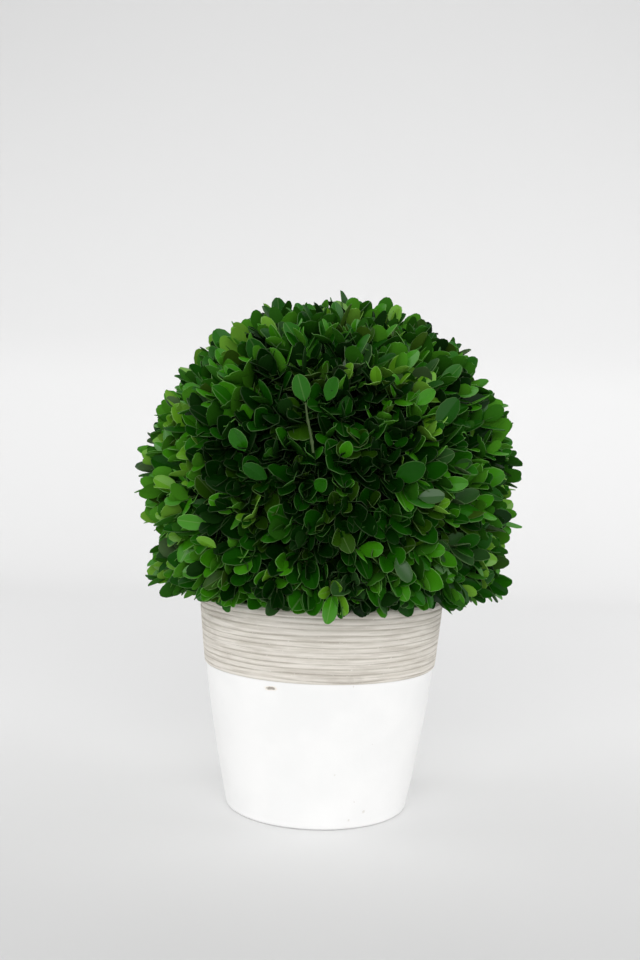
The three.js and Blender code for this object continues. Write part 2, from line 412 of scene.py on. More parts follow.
def glaze_finish():
    finish = Finish("white_glaze")
    mottle = finish.noise(finish.place, 28.0, 3.0)
    fine = finish.noise(finish.place, 420.0, 2.0)
    colour = finish.mixed(mottle.smooth(0.35, 0.7), (0.86, 0.86, 0.855, 1), (0.89, 0.888, 0.882, 1))
    for angle, height, radius in SPECKS:
        reach = flank_radius(height)
        spot = (reach * math.cos(angle), reach * math.sin(angle), height)
        distance = finish.distance(finish.place, spot)
        ragged = distance + (finish.noise(finish.place, 1500.0, 1.0) - 0.5) * radius * 2
        speck = (1 - ragged.smooth(radius / 2, radius)) * SPECK_STRENGTH
        colour = finish.mixed(speck, colour, SPECK_COLOUR)
    chip = chip_mask(finish, finish.place)
    colour = finish.mixed(1 - chip.smooth(1.0, 1.5), colour, (0.86, 0.82, 0.76, 1))
    colour = finish.mixed(1 - chip.smooth(0.7, 1.0), colour, (0.36, 0.325, 0.285, 1))
    finish.set(Base_Color=colour, Roughness=0.42 + fine * 0.16)
    finish.bump(mottle * 0.6 + fine * 0.25, 0.25, 0.6 * MM)
    return finish.material


def clay_finish():
    finish = Finish("combed_clay")
    x, y, z = finish.parts(finish.place)
    streaks = finish.noise(finish.vector(x, y, z * 18), 28.0, 5.0, 0.65)
    smudges = finish.noise(finish.vector(x, y, z * 1.6), 30.0, 3.0, 0.6)
    grain = finish.noise(finish.place, 700.0, 3.0, 0.7)
    colour = finish.mixed(streaks.smooth(0.32, 0.66), (0.56, 0.52, 0.46, 1), (0.76, 0.72, 0.66, 1))
    colour = finish.mixed(smudges.smooth(0.5, 0.75) * 0.4, colour, (0.76, 0.725, 0.67, 1))
    colour = finish.mixed((1 - smudges).smooth(0.58, 0.72) * 0.35, colour, (0.44, 0.4, 0.35, 1))
    groove = comb_depth(finish, finish.place).smooth(0.05 * MM, 0.7 * MM)
    colour = finish.mixed(groove * 0.62, colour, (0.31, 0.275, 0.23, 1))
    crumbs = grain.smooth(0.62, 0.7) * (0.25 + groove * 0.5)
    colour = finish.mixed(crumbs, colour, (0.9, 0.875, 0.83, 1))
    finish.set(Base_Color=colour, Roughness=0.78 + grain * 0.15)
    finish.bump(streaks * 0.6 + grain * 0.4, 0.4, 0.4 * MM)
    return finish.material


def inside_finish():
    finish = Finish("raw_clay_inside")
    cloud = finish.noise(finish.place, 60.0, 3.0)
    colour = finish.mixed(cloud, (0.36, 0.32, 0.27, 1), (0.52, 0.47, 0.41, 1))
    finish.set(Base_Color=colour, Roughness=0.85 + cloud * 0.1)
    finish.bump(cloud, 0.3, 0.5 * MM)
    return finish.material


def soil_finish():
    finish = Finish("potting_mix")
    clumps = finish.noise(finish.place, 180.0, 4.0, 0.65)
    fibres = finish.noise(finish.place, 620.0, 3.0, 0.7)
    colour = finish.mixed(clumps.smooth(0.35, 0.7), (0.012, 0.009, 0.006, 1), (0.06, 0.042, 0.027, 1))
    colour = finish.mixed(fibres.smooth(0.62, 0.7), colour, (0.14, 0.1, 0.06, 1))
    finish.set(Base_Color=colour, Roughness=0.88 + clumps * 0.1)
    finish.bump(clumps * 0.7 + fibres * 0.3, 0.8, 1.2 * MM)
    return finish.material


def bark_finish():
    finish = Finish("box_bark")
    x, y, z = finish.parts(finish.place)
    fissures = finish.noise(finish.vector(x, y, z * 0.25), 420.0, 4.0, 0.65)
    lichen = finish.noise(finish.place, 90.0, 2.0)
    colour = finish.mixed(fissures.smooth(0.35, 0.65), (0.07, 0.05, 0.03, 1), (0.3, 0.245, 0.16, 1))
    colour = finish.mixed(lichen.smooth(0.58, 0.7) * 0.6, colour, (0.36, 0.36, 0.27, 1))
    finish.set(Base_Color=colour, Roughness=0.75 + fissures * 0.2)
    finish.bump(fissures, 0.8, 1.0 * MM)
    return finish.material


def painted_shade_heart_finish():
    finish = Finish("shaded_inner_growth")
    clumps = finish.noise(finish.place, 120.0, 3.0, 0.6)
    # Near-black painted shade for the dark inside the crown, mottled by clumps.
    colour = finish.mixed(clumps.smooth(0.4, 0.65), (0.002, 0.003, 0.0015, 1), (0.008, 0.018, 0.004, 1))
    finish.set(Base_Color=colour, Roughness=0.8 + clumps * 0.15)
    finish.bump(clumps, 0.9, 2.0 * MM)
    return finish.material


# ---------------------------------------------------------------- turned pieces


def flank_radius(height):
    share = height / POT_HEIGHT
    taper = (POT_RIM_RADIUS - POT_FOOT_RADIUS) * share
    return POT_FOOT_RADIUS + taper + POT_FLANK_BULGE * share * (1 - share)


def steps(start, end, count):
    """Evenly spaced values from start up to and including end."""
    return [start + (end - start) * i / count for i in range(count + 1)]


def quarter_round(centre_radius, centre_height, radius, start, end, count):
    """Points of a profile along an arc, with its angles in degrees from straight outwards."""
    angles = [math.radians(angle) for angle in steps(start, end, count)]
    return [(centre_radius + radius * math.cos(a), centre_height + radius * math.sin(a)) for a in angles]


def turning():
    """Turns a profile round the vertical axis, and closes it at its seam and poles."""
    shape = Shape("turned_on_the_wheel", sides=int)
    profile = shape.geometry
    rows = shape.add("GeometryNodeAttributeDomainSize", {"component": "MESH"}, {0: profile})
    sides = shape.size("sides")
    grid = {"Size X": 1.0, "Size Y": 1.0, "Vertices X": sides + 1, "Vertices Y": rows}
    shape.geometry = shape.add("GeometryNodeMeshGrid", inputs=grid)
    index = shape.add("GeometryNodeInputIndex")
    column = ((index + 0.5) / rows).math("FLOOR")
    row = index - column * rows
    position = shape.add("GeometryNodeInputPosition")
    inputs = {"Geometry": profile, "Value": position, "Index": row}
    corner = shape.add("GeometryNodeSampleIndex", {"data_type": "FLOAT_VECTOR"}, inputs)
    radius, _, height = shape.parts(corner)
    angle = column * math.tau / sides
    turned = shape.vector(radius * angle.math("COSINE"), radius * angle.math("SINE"), height)
    shape.step("GeometryNodeSetPosition", Position=turned)
    shape.step("GeometryNodeMergeByDistance", Distance=WELD_DISTANCE)
    return shape.close()


def roughening():
    """Pushes a surface in and out by noise, on its upper parts only."""
    kinds = {key: float for key in ("depth", "grain", "above", "stretch")}
    shape = Shape("roughened", finish=bpy.types.Material, **kinds)
    position = shape.add("GeometryNodeInputPosition")
    normal = shape.add("GeometryNodeInputNormal")
    x, y, z = shape.parts(position)
    place = shape.vector(x, y, z * shape.size("stretch"))
    push = (shape.noise(place, shape.size("grain"), 3.0, 0.6) - 0.5) * 2 * shape.size("depth")
    push = push * (z > shape.size("above"))
    shape.step("GeometryNodeSetPosition", Offset=shape.scaled(normal, push))
    shape.step("GeometryNodeSetMaterial", Material=shape.size("finish"))
    return shape.close()


def combing():
    """Combs the pot's band, takes the chip out of the glaze, and gives each part its finish."""
    shape = Shape("combed_and_glazed", **{key: bpy.types.Material for key in ("glaze", "clay", "inside")})
    place = shape.add("GeometryNodeInputPosition")
    x, y, z = shape.parts(place)
    reach = (x * x + y * y).math("SQRT").math("MAXIMUM", 1 * MM)
    share = z / POT_HEIGHT
    flank = POT_FOOT_RADIUS + share * (POT_RIM_RADIUS - POT_FOOT_RADIUS)
    flank = flank + share * (1 - share) * POT_FLANK_BULGE
    outside = (reach - flank) > -0.3 * POT_WALL
    band = outside * z.smooth(BAND_FOOT - 0.2 * MM, BAND_FOOT + 1.6 * MM)
    combed = band * (1 - z.smooth(POT_HEIGHT - 3.5 * MM, POT_HEIGHT - 1.2 * MM))

    lumps = (shape.noise(place, 55.0, 2.0) - 0.5) * BAND_LUMPS
    relief = (BAND_PROUD - comb_depth(shape, place) + lumps) * combed + (band - combed) * BAND_TOP_PROUD

    chip = (1 - chip_mask(shape, place).smooth(0.6, 1.15)) * CHIP_DEPTH
    wobble = (shape.noise(place, 14.0, 2.0) - 0.5) * FLANK_WOBBLE * outside * share.smooth(0.04, 0.15)
    push = relief + wobble - chip
    shape.step("GeometryNodeSetPosition", Offset=shape.vector(x / reach * push, y / reach * push, 0.0))

    shape.step("GeometryNodeSetMaterial", Material=shape.size("glaze"))
    inner = (reach - flank) < -0.6 * POT_WALL
    lining = inner * (z > POT_FLOOR / 2)
    shape.step("GeometryNodeSetMaterial", Selection=lining, Material=shape.size("inside"))
    unglazed = (z > BAND_FOOT + 0.4 * MM) * (1 - inner)
    shape.step("GeometryNodeSetMaterial", Selection=unglazed, Material=shape.size("clay"))
    return shape.close()


def pot_profile():
    """From the underside's middle, up the flank, over the rim and down to the floor's middle."""
    foot = flank_radius(FOOT_ROUNDING)
    profile = [(radius, 0) for radius in steps(0, foot - FOOT_ROUNDING, 8)]
    profile += quarter_round(foot - FOOT_ROUNDING, FOOT_ROUNDING, FOOT_ROUNDING, -90, 0, 6)[1:]
    combed_from = BAND_FOOT - 2 * MM
    shoulder = POT_HEIGHT - LIP_ROUNDING
    profile += [(flank_radius(z), z) for z in steps(FOOT_ROUNDING, combed_from, 30)[1:]]
    profile += [(flank_radius(z), z) for z in steps(combed_from, shoulder, 105)[1:]]
    profile += quarter_round(POT_RIM_RADIUS - LIP_ROUNDING, shoulder, LIP_ROUNDING, 0, 90, 5)[1:]
    inner_lip = POT_RIM_RADIUS - POT_WALL + LIP_ROUNDING
    profile += quarter_round(inner_lip, shoulder, LIP_ROUNDING, 90, 180, 5)
    profile += [(flank_radius(z) - POT_WALL, z) for z in steps(shoulder, POT_FLOOR, 12)[1:]]
    profile += [(radius, POT_FLOOR) for radius in steps(flank_radius(POT_FLOOR) - POT_WALL, 0, 3)[1:]]
    return profile


def turned_piece(name, turn, profile, sides, work, across=0.0, **sizes):
    """Turns a profile on the wheel about an axis at x = across, and works its surface."""
    source = line_mesh(name + "_profile", [(radius, 0, height) for radius, height in profile])
    blank = turn.grow(name + "_blank", source, sides=sides)
    blank.data.transform(Matrix.Translation((across, 0, 0)))
    piece = work.grow(name, blank.data, **sizes)
    bpy.data.objects.remove(blank)
    face_outwards(piece)
    piece.data.shade_smooth()
    return piece


def make_pot(turn):
    finishes = {"glaze": glaze_finish(), "clay": clay_finish(), "inside": inside_finish()}
    pot = turned_piece("pot_glazed", turn, pot_profile(), POT_SIDES, combing(), **finishes)
    finish_piece(pot, "pot", "pot")


def make_soil(turn, roughen):
    foot = POT_FLOOR + 1 * MM
    profile = [(0, foot), (flank_radius(foot) - SOIL_INSET, foot)]
    profile += [(flank_radius(z) - SOIL_INSET, z) for z in steps(foot, SOIL_TOP - 3 * MM, 4)[1:]]
    edge = flank_radius(SOIL_TOP) - SOIL_INSET - 3 * MM
    profile += [(radius, SOIL_TOP) for radius in steps(edge, 0, 40)]
    sizes = {"depth": 1.6 * MM, "grain": 120.0, "above": SOIL_TOP - 2 * MM, "stretch": 1.0}
    soil = turned_piece("potting_mix", turn, profile, 120, roughen, finish=soil_finish(), **sizes)
    finish_piece(soil, "root_ball", "root_ball")


def make_stem(turn, roughen, bark):
    profile = [(0, 0), (STEM_FOOT_RADIUS, 0)]
    for height in steps(1 * MM, STEM_HEIGHT, 40):
        flare = max(0, 1 - height / STEM_FLARE_HEIGHT) ** 2
        taper = STEM_RADIUS + (STEM_TIP_RADIUS - STEM_RADIUS) * height / STEM_HEIGHT
        profile.append((taper + (STEM_FOOT_RADIUS - STEM_RADIUS) * flare, height))
    profile.append((0, STEM_HEIGHT))
    sizes = {"depth": 0.7 * MM, "grain": 260.0, "above": 0.5 * MM, "stretch": 0.25}
    stem = turned_piece("stem_bark", turn, profile, 64, roughen, finish=bark, **sizes)
    lean = Matrix.Shear("XY", 4, (CROWN_CENTRE.x / (CROWN_CENTRE.z - SOIL_TOP), 0))
    stem.data.transform(Matrix.Translation((0, 0, SOIL_TOP + STEM_SEAT)) @ lean)
    finish_piece(stem, "stem", "stem")


# ---------------------------------------------------------------- the crown


class Draws:
    """Random numbers by a linear congruence: the same stream for the same seed."""

    def __init__(self, seed):
        self.state = seed

    def share(self):
        """A number from 0 to 1."""
        self.state = (self.state * 1664525 + 1013904223) % 2**32
        return self.state / 2**32

    def either(self, spread):
        """A number from -spread to spread."""
        return (self.share() * 2 - 1) * spread

    def wander(self, spread):
        return Vector([self.either(spread) for _ in range(3)])


def smoothstep(value, low, high):
    share = min(max((value - low) / (high - low), 0), 1)
    return share * share * (3 - 2 * share)


def crown_reach(rise):
    """The distance from the crown's centre to its clipped outline, at an angle above the horizon."""
    ball = CROWN_RADIUS * (1 + SKIRT_FLARE * smoothstep(-rise, SKIRT_START, SKIRT_END))
    if rise < 0:
        return min(ball, (CROWN_CENTRE.z - CROWN_UNDERSIDE) / math.sin(-rise))
    return ball


def core_reach(rise):
    """The distance to the dense core, a ball that widens into a neck over the pot."""
    ball = CORE_SHARE * CROWN_RADIUS
    return max(ball, NECK_RADIUS / math.cos(rise)) if rise < 0 else ball


def direction_at(turn, rise):
    return Vector((math.cos(rise) * math.cos(turn), math.cos(rise) * math.sin(turn), math.sin(rise)))


def over_the_ball(count, lowest):
    """Ways out that lie evenly over the ball, from its top to an angle below the horizon."""
    golden = math.pi * (3 - math.sqrt(5))
    zone = 1 + math.sin(lowest)
    return [direction_at(i * golden, math.asin(1 - (i + 0.5) / count * zone)) for i in range(count)]


def round_the_skirt(count, drop, first=0.0):
    """Ways out in a ring below the horizon, the first of them a share of a step round."""
    return [direction_at((i + first) * math.tau / count, -drop) for i in range(count)]


def fine_directions():
    """The way each fine sprig points: over the ball, then in rings round the skirt."""
    zone = 1 + math.sin(LOWEST_BALL_SPRIG)
    count = round(math.tau * CROWN_RADIUS**2 * zone / (SPRIG_SPACING**2 * math.sqrt(0.75)))
    directions = over_the_ball(count, LOWEST_BALL_SPRIG)
    for ring, drop in enumerate(SKIRT_RINGS):
        around = round(math.tau * crown_reach(-drop) * math.cos(drop) / SPRIG_SPACING)
        directions += round_the_skirt(around, drop, ring / 2)
    return directions


def near_pot(point):
    reach = POT_RIM_RADIUS + BAND_PROUD + POT_GAP
    return point.z < POT_HEIGHT + POT_GAP and math.hypot(point.x, point.y) < reach


Leaf = namedtuple("Leaf", "root axes length width green form")


class Growth:
    """The crown's twigs and leaves, as lines and places that Geometry Nodes dress."""

    def __init__(self):
        self.draws = Draws(CROWN_SEED)
        self.points = {"boughs": [], "twigs": []}
        self.edges = {"boughs": [], "twigs": []}
        self.thickness = {"boughs": [], "twigs": []}
        self.leaves = []

    def limb(self, kind, path):
        """Adds a limb from (point, radius) pairs."""
        first = len(self.points[kind])
        for i, (point, radius) in enumerate(path):
            self.points[kind].append(point)
            self.thickness[kind].append(radius)
            if i:
                self.edges[kind].append((first + i - 1, first + i))

    def leaf(self, root, axes, length, width, green):
        form = int(self.draws.share() * len(LEAF_FORMS))
        self.leaves.append(Leaf(root, axes, length, width, green, form))


def main_sprigs():
    """The root and the tip of each main sprig's twig, where the solid crown has them."""
    draws = Draws(CROWN_SEED)
    directions = over_the_ball(MAIN_BALL_COUNT, MAIN_BALL_LOWEST)
    directions += round_the_skirt(MAIN_SKIRT_COUNT, MAIN_SKIRT_DROP)
    sprigs = []
    for direction in directions:
        rise = math.asin(direction.z)
        root = CROWN_CENTRE + direction * (core_reach(rise) - MAIN_ROOT_DEPTH)
        axis = (direction + draws.wander(MAIN_WANDER)).normalized()
        leaf_length = MAIN_LEAF_LENGTH * (1 + draws.either(MAIN_SIZE_VARIATION))
        reach = CROWN_CENTRE + direction * crown_reach(rise) - root
        length = reach.dot(axis) - leaf_length * math.cos(MAIN_LEAF_SPREAD)
        sprigs.append((root, root + axis * length))
        for _ in range(1 + MAIN_LEAF_DRAWS):  # its turn and its leaves, which finer sprigs stand for
            draws.share()
    return sprigs


def grow_boughs(growth, sprigs):
    """A bough from the stem's tip to each main sprig's root, and on along the sprig."""
    foot = Vector((CROWN_CENTRE.x * 0.5, 0, SOIL_TOP + STEM_HEIGHT - 2 * MM))
    for root, tip in sprigs:
        reach = root - foot
        bend = Vector((reach.x * BOUGH_BOW, reach.y * BOUGH_BOW, reach.length * BOUGH_RISE))
        path = []
        for share in steps(0, 1, 5):
            point = foot + reach * share + bend * 4 * share * (1 - share)
            radius = BOUGH_FOOT_RADIUS + (BOUGH_TIP_RADIUS - BOUGH_FOOT_RADIUS) * share
            path.append((point, radius))
        path.append((tip, MAIN_TIP_RADIUS))
        growth.limb("boughs", path)


def lifted(axes, roll):
    """A leaf's axes, with its upper side turned part of the way to the light."""
    along = axes.col[1].copy()
    face = axes.col[2] * (1 - LEAF_LIFT) + UP * LEAF_LIFT
    face -= along * face.dot(along)
    if face.length < LEAST_LIFT:
        face = axes.col[2].copy()
    face.normalize()
    turned = Matrix((along.cross(face), along, face)).transposed()
    return turned @ Matrix.Rotation(roll, 3, "Y")


def sprig_reach(rise, draw):
    """How far a fine sprig reaches: to the outline, or by its draw some way short of it."""
    reach = crown_reach(rise)
    if rise < 0:
        reach = min(reach, (CROWN_CENTRE.z - SPRIG_UNDERSIDE) / math.sin(-rise))
    return reach + SPRIG_EXCESS - draw**SHORTFALL_POWER * SPRIG_SHORTFALL


def twig_foot(fork, elbow):
    """The bare foot of a twig, from its fork on a main sprig to the elbow below its leaves."""
    bend = fork.lerp(elbow, 0.6) + UP * 1.5 * MM
    return [(fork, TWIG_FOOT_RADIUS * 1.6), (bend, TWIG_FOOT_RADIUS * 1.3), (elbow, TWIG_FOOT_RADIUS)]


def twig_node(node, axis, share):
    """A twig's swollen node, at a share of the way up its leaves."""
    radius = TWIG_FOOT_RADIUS + (TWIG_TIP_RADIUS - TWIG_FOOT_RADIUS) * share
    half = axis * TWIG_NODE_HALF_LENGTH
    return [(node - half, radius), (node, radius * TWIG_NODE_SWELL), (node + half, radius)]


def clear_of_pot(root, tip):
    """Whether a leaf keeps off the rim and above the crown's underside."""
    if min(tip.z, root.z) < LOWEST_LEAF:
        return False
    return not any(near_pot(point) for point in (tip, root.lerp(tip, 0.6), root))


def grow_sprig(growth, direction, main, sprays):
    """A twig that forks from the nearest main sprig, with pairs of leaves up to the crown's outline."""
    draws = growth.draws
    axis = (direction + draws.wander(SPRIG_WANDER)).normalized()
    size = 1 + draws.either(SPRIG_SIZE_VARIATION)
    openness = 1 + draws.either(SPRIG_OPENING_VARIATION)
    outline = CROWN_CENTRE + direction * sprig_reach(math.asin(direction.z), draws.share())
    tip = outline - axis * LEAF_LENGTH * size * PAIR_SIZES[-1] * math.cos(PAIR_SPREADS[-1])
    fork = min(main, key=lambda sprig: (sprig[1] - tip).length)[0]
    last = len(PAIR_SPREADS) - 1
    path = twig_foot(fork, tip - axis * (PAIR_SPACING * size * last + TWIG_BARE_LENGTH))

    side = axis.orthogonal().normalized()
    upright = Matrix((side, axis.cross(side), axis)).transposed()
    turn = draws.share() * math.pi
    for pair, spread in enumerate(PAIR_SPREADS):
        node = tip - axis * PAIR_SPACING * size * (last - pair)
        path += twig_node(node, axis, pair / last)
        for facing in (0, math.pi):
            angle = turn + facing + pair * math.pi / 2 + draws.either(LEAF_TURN_VARIATION)
            opening = spread * openness + draws.either(LEAF_SPREAD_VARIATION)
            length = LEAF_LENGTH * size * PAIR_SIZES[pair] * (1 + draws.either(LEAF_SIZE_VARIATION))
            outwards = Matrix.Rotation(math.pi / 2 - opening, 3, "X")
            axes = upright @ Matrix.Rotation(angle, 3, "Z") @ outwards
            axes = lifted(axes, draws.either(LEAF_ROLL_VARIATION))
            width = LEAF_WIDTH * length / LEAF_LENGTH * (1 + draws.either(LEAF_WIDTH_VARIATION))
            if clear_of_pot(node, node + axes @ Vector((0, length, 0))):
                growth.leaf(node, axes, length, width, sprays[PAIR_AGES[pair]])
    if not any(near_pot(point) for point, _ in path[2:]):
        growth.limb("twigs", path)


DEEP, MID, FRESH, YOUNG, GREY, OLIVE, SHADED = range(7)

# Leaves that lie on the crown's front: (shares of the crown's radius to the right and up, the tip's
# lean from upright and how far it stands off in degrees, length, width, green).
STRAY_LEAVES = (
    (-0.15, 0.5, -20, 44, 17.5 * MM, 11.5 * MM, MID),
    (-0.005, 0.5, 33, 46, 17 * MM, 9.5 * MM, MID),
    (0.37, 0.127, 60, 40, 21 * MM, 13.5 * MM, DEEP),
    (0.475, 0.01, 85, 36, 16 * MM, 9.5 * MM, GREY),
    (0.35, -0.34, 155, 38, 17.5 * MM, 10 * MM, GREY),
    (-0.435, 0.25, -20, 44, 17 * MM, 11.5 * MM, MID),
    (-0.35, 0.1, -60, 42, 17 * MM, 10 * MM, DEEP),
    (0.555, 0.405, 40, 40, 22 * MM, 14 * MM, DEEP),
    (0.066, 0.22, 15, 50, 14 * MM, 8.5 * MM, FRESH),
    (-0.04, 0.06, 48, 48, 16 * MM, 9 * MM, MID),
    (0.44, 0.475, 62, 46, 15 * MM, 8.5 * MM, FRESH),
    (-0.66, -0.155, -75, 40, 19 * MM, 11 * MM, FRESH),
    (-0.585, -0.255, -35, 44, 14 * MM, 9.5 * MM, YOUNG),
)
STRAY_STAND = -3.2 * MM

# A bare twig at the front, with its knots: (right, up, radius), in the same shares.
BARE_TWIG = (
    (-0.085, 0.2, 0.9 * MM),
    (-0.09, 0.235, 0.9 * MM),
    (-0.092, 0.25, 1.4 * MM),
    (-0.095, 0.265, 0.85 * MM),
    (-0.11, 0.33, 0.8 * MM),
    (-0.114, 0.345, 1.15 * MM),
    (-0.117, 0.36, 0.75 * MM),
    (-0.128, 0.43, 0.65 * MM),
)


def on_the_front(across, up):
    """A place on the crown's outline as the front shows it, with its ways right, up and out."""
    outwards = Vector((across, -math.sqrt(1 - across**2 - up**2), up)).normalized()
    right = UP.cross(outwards).normalized()
    upwards = outwards.cross(right)
    reach = crown_reach(math.asin(outwards.z)) + STRAY_STAND
    return CROWN_CENTRE + outwards * reach, right, upwards, outwards


def grow_strays(growth):
    for across, up, lean, stand, length, width, green in STRAY_LEAVES:
        middle, right, upwards, outwards = on_the_front(across, up)
        lean, stand = math.radians(lean), math.radians(stand)
        flat = right * math.sin(lean) + upwards * math.cos(lean)
        along = flat * math.cos(stand) + outwards * math.sin(stand)
        face = outwards * math.cos(stand) - flat * math.sin(stand)
        axes = Matrix((along.cross(face), along, face)).transposed()
        growth.leaf(middle - along * length / 2, axes, length, width, green)
    growth.limb("twigs", [(on_the_front(across, up)[0], radius) for across, up, radius in BARE_TWIG])


# A leaf's outline, with the shares of its length at which it has a row of points.
LEAF_ROWS = (0.0, 0.12, 0.32, 0.56, 0.8, 0.95, 1.0)
LEAF_BASE = 0.3
BASE_SHARE = 0.66
LEAF_FULLNESS = 1.08
PETIOLE_SHARE = 0.11
TIP_SHARE = 0.22
RIM_SHARE = 0.028
THICKNESS_SHARE = 0.013
BLADE, RIM, UNDERSIDE, MIDRIB = range(4)

# The forms a leaf may have: (name, rise of the edges, bend of the tip, half a midrib's width, folded).
LEAF_FORMS = (
    ("leaf_form_1_folded", 0.11, 0.04, 0, True),
    ("leaf_form_2_arched", -0.07, -0.09, 0, True),
    ("leaf_form_3_cupped", 0.13, 0.15, 0, False),
    ("leaf_form_4_ribbed", 0.07, -0.02, 0.028, False),
)


def leaf_half_width(share):
    """Half a leaf's width at a share of its length, as a share of its whole width."""
    along = share**LEAF_FULLNESS
    full = 2 * math.sqrt(along * (1 - along)) * min(1, BASE_SHARE + (1 - BASE_SHARE) * share / LEAF_BASE)
    floor = PETIOLE_SHARE + (TIP_SHARE - PETIOLE_SHARE) * share
    return 0.5 * max(full, floor)


def leaf_form(name, cup, bend, midrib, folded):
    """One leaf a unit long and wide, along +Y with its upper side to +Z."""
    corners, rows = [], []
    for share in LEAF_ROWS:
        half = leaf_half_width(share)
        sag = bend * share * share
        edge = cup * 2 * half + sag
        upper = [(-half + RIM_SHARE, edge), (-midrib, sag), (midrib, sag), (half - RIM_SHARE, edge)]
        lower = [(x, z - THICKNESS_SHARE) for x, z in ((-half, edge), (0, sag), (half, edge))]
        if not midrib:
            upper.pop(2)
        row = []
        for x, z in upper + lower:
            row.append(len(corners))
            corners.append((x, share, z))
        rows.append((row[: len(upper)], row[len(upper):]))
    faces, parts = [], []

    def add(part, *face):
        faces.append(face)
        parts.append(part)

    for (above, below), (above_next, below_next) in zip(rows, rows[1:]):
        for i in range(len(above) - 1):
            part = MIDRIB if midrib and i == 1 else BLADE
            add(part, above[i], above[i + 1], above_next[i + 1], above_next[i])
        for i in range(2):
            add(UNDERSIDE, below[i + 1], below[i], below_next[i], below_next[i + 1])
        add(RIM, below[0], above[0], above_next[0], below_next[0])
        add(RIM, above[-1], below[2], below_next[2], above_next[-1])
    (above, below), (above_end, below_end) = rows[0], rows[-1]
    add(RIM, *below, *reversed(above))
    add(RIM, *reversed(below_end), *above_end)

    mesh = bpy.data.meshes.new(name)
    mesh.from_pydata(corners, [], faces)
    layer = mesh.attributes.new("part", "INT", "FACE")
    layer.data.foreach_set("value", parts)
    touching = {}
    for polygon, part in zip(mesh.polygons, parts):
        for key in polygon.edge_keys:
            touching.setdefault(key, set()).add(BLADE if part == MIDRIB else part)
    crease = {above[1] for above, _ in rows} if folded else set()
    sharp = mesh.attributes.new("sharp_edge", "BOOLEAN", "EDGE")
    sharp.data.foreach_set("value", [
        len(touching[edge.key]) > 1 or crease.issuperset(edge.vertices)
        for edge in mesh.edges
    ])
    return bpy.data.objects.new(name, mesh)


def leaf_forms():
    forms = bpy.data.collections.new("leaf_forms")
    for form in LEAF_FORMS:
        forms.objects.link(leaf_form(*form))
    return forms


def leafing():
    """Sets a leaf on every point, and gives its parts their finishes."""
    kinds = {key: bpy.types.Material for key in ("blade", "rim", "underside", "midrib")}
    shape = Shape("leaves_on_twigs", forms=bpy.types.Collection, **kinds)
    forms = {"Collection": shape.size("forms"), "Separate Children": True, "Reset Children": True}
    instances = shape.add("GeometryNodeCollectionInfo", inputs=forms)
    shape.step("GeometryNodeInstanceOnPoints", Instance=instances, Pick_Instance=True,
               Instance_Index=shape.named("form", "FLOAT"),
               Rotation=shape.named("turn", "FLOAT_VECTOR"), Scale=shape.named("size", "FLOAT_VECTOR"))
    shape.step("GeometryNodeRealizeInstances")
    shape.step("GeometryNodeSetShadeSmooth")
    shape.step("GeometryNodeSetMaterial", Material=shape.size("blade"))
    part = shape.named("part", "INT")
    for value, key in ((RIM, "rim"), (UNDERSIDE, "underside"), (MIDRIB, "midrib")):
        chosen = shape.add("FunctionNodeCompare", {"data_type": "INT", "operation": "EQUAL"})
        node = chosen.socket.node
        whole = [socket for socket in node.inputs if socket.type == "INT" and socket.enabled]
        shape.join(part, whole[0])
        shape.join(value, whole[1])
        shape.step("GeometryNodeSetMaterial", Selection=chosen, Material=shape.size(key))
    return shape.close()


def wooding():
    """Gives lines of a named thickness a round body."""
    shape = Shape("round_wood", sides=int, finish=bpy.types.Material)
    shape.step("GeometryNodeMeshToCurve")
    thickness = shape.named("thickness", "FLOAT")
    circle = {"Resolution": shape.size("sides"), "Radius": 1.0}
    ring = shape.add("GeometryNodeCurvePrimitiveCircle", inputs=circle)
    shape.step("GeometryNodeCurveToMesh", Profile_Curve=ring, Scale=thickness, Fill_Caps=True)
    shape.step("GeometryNodeSetShadeSmooth")
    shape.step("GeometryNodeSetMaterial", Material=shape.size("finish"))
    return shape.close()


# The greens: (name, shares of the sprays of each age from old to young, blade, underside, the
# blade's gloss, the rim's paleness).
GREENS = (
    ("deep", (0.3, 0.23, 0.19), (0.006, 0.06, 0.001), (0.016, 0.082, 0.004), 0.1, 0.11),
    ("mid", (0.22, 0.21, 0.2), (0.013, 0.11, 0.0012), (0.028, 0.135, 0.007), 0.2, 0.18),
    ("fresh", (0.08, 0.24, 0.29), (0.038, 0.205, 0.003), (0.06, 0.23, 0.012), 0.3, 0.24),
    ("young", (0.02, 0.09, 0.14), (0.11, 0.3, 0.012), (0.14, 0.33, 0.03), 0.3, 0.26),
    ("grey", (0.04, 0.05, 0.05), (0.024, 0.078, 0.016), (0.075, 0.135, 0.05), 0.28, 0.18),
    ("olive", (0.1, 0.08, 0.06), (0.018, 0.062, 0.0015), (0.035, 0.087, 0.006), 0.15, 0.14),
    # shaded: a painted shade green, the darkest of all, dealt most to the oldest, innermost sprays and to
    # the side with painted shade.
    ("shaded", (0.24, 0.1, 0.07), (0.002, 0.019, 0.0006), (0.006, 0.03, 0.003), 0.08, 0.045),
)
BLADE_ROUGHNESS = 0.34
UNDERSIDE_SHEEN = (0.6, 0.06)  # roughness, gloss
RIM_SHEEN = (0.5, 0.12)
MIDRIB_PALENESS = 0.8
PALE_EDGE = (0.32, 0.44, 0.2)

